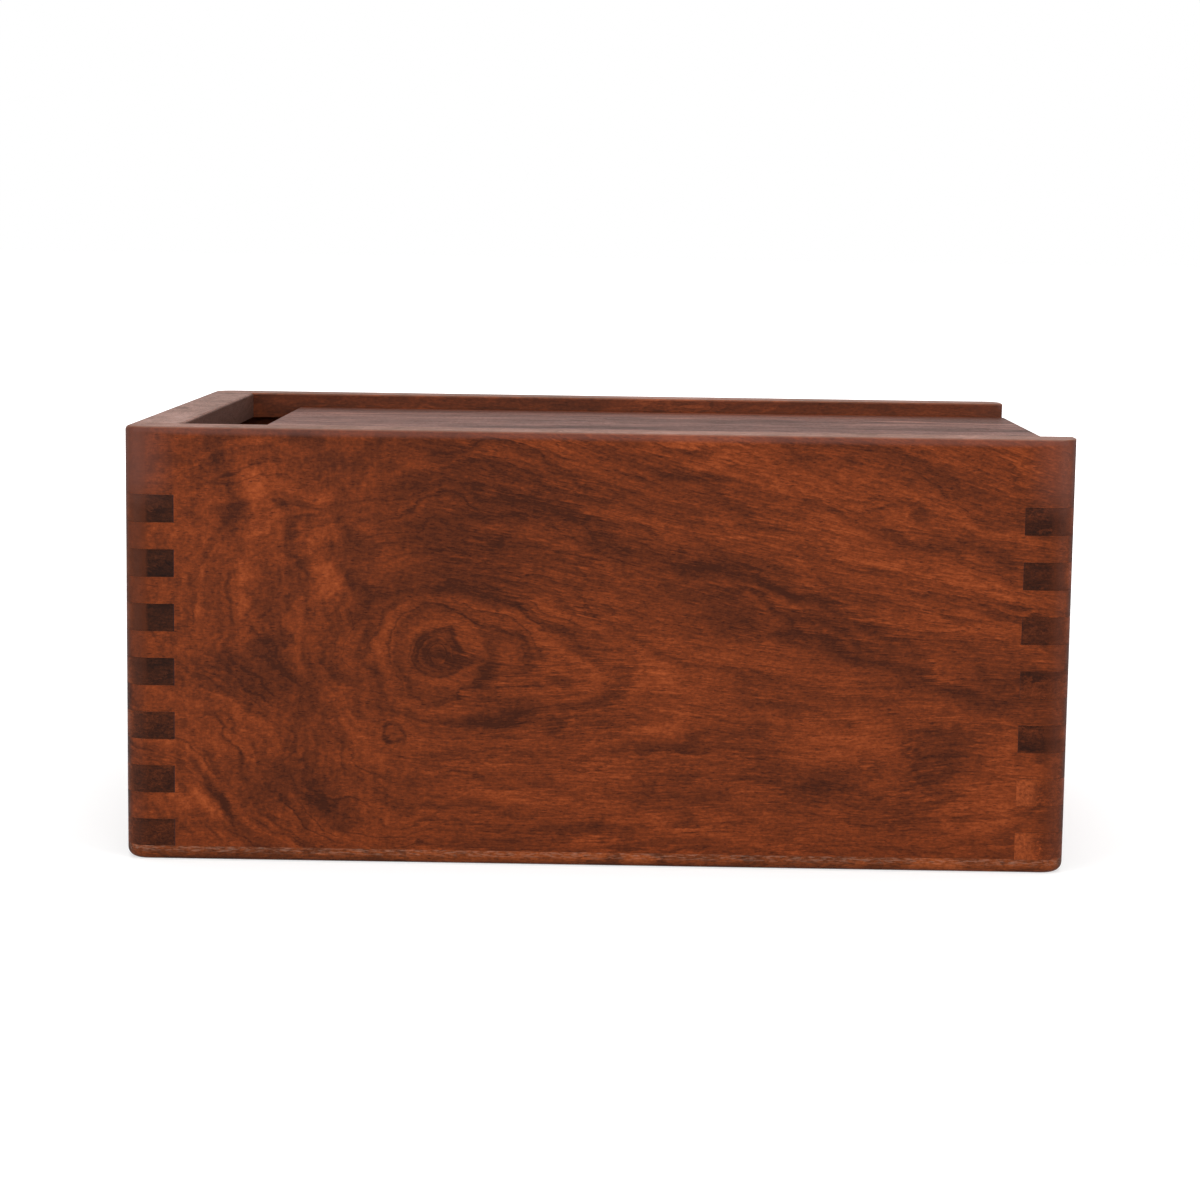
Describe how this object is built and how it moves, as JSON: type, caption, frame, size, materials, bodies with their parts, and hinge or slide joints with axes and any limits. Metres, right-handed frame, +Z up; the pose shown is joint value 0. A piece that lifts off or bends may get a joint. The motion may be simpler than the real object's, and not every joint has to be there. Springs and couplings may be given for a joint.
{
  "type": "chess box with sliding lid",
  "caption": "Finger-jointed wooden box for chess pieces; a recessed lid with a raised field slides in grooves and out over the low end board.",
  "frame": {"origin": "middle of the box's footprint, on the underside of the bottom board", "axes": "+X along the length towards the low end, the way the lid slides open; +Y from the pictured front to the back; +Z up"},
  "size_m": [0.2226, 0.152, 0.1025],
  "materials": {
    "front_wood": "satin, figured rosewood",
    "back_wood": "satin, figured rosewood",
    "left_end_wood": "satin, straight-grained rosewood",
    "right_end_wood": "satin, straight-grained rosewood",
    "bottom_wood": "satin, paler rosewood",
    "lid_wood": "satin, straight-grained rosewood"
  },
  "bodies": {
    "box": {"front_board": "front_wood", "back_board": "back_wood", "left_end_board": "left_end_wood", "right_end_board": "right_end_wood", "bottom_board": "bottom_wood"},
    "lid": {"sliding_lid": "lid_wood"}
  },
  "joints": [
    {"name": "lid_slide", "type": "slide", "parent": "box", "child": "lid", "axis": [1, 0, 0], "range_m": [-0.011, 0.205]}
  ]
}
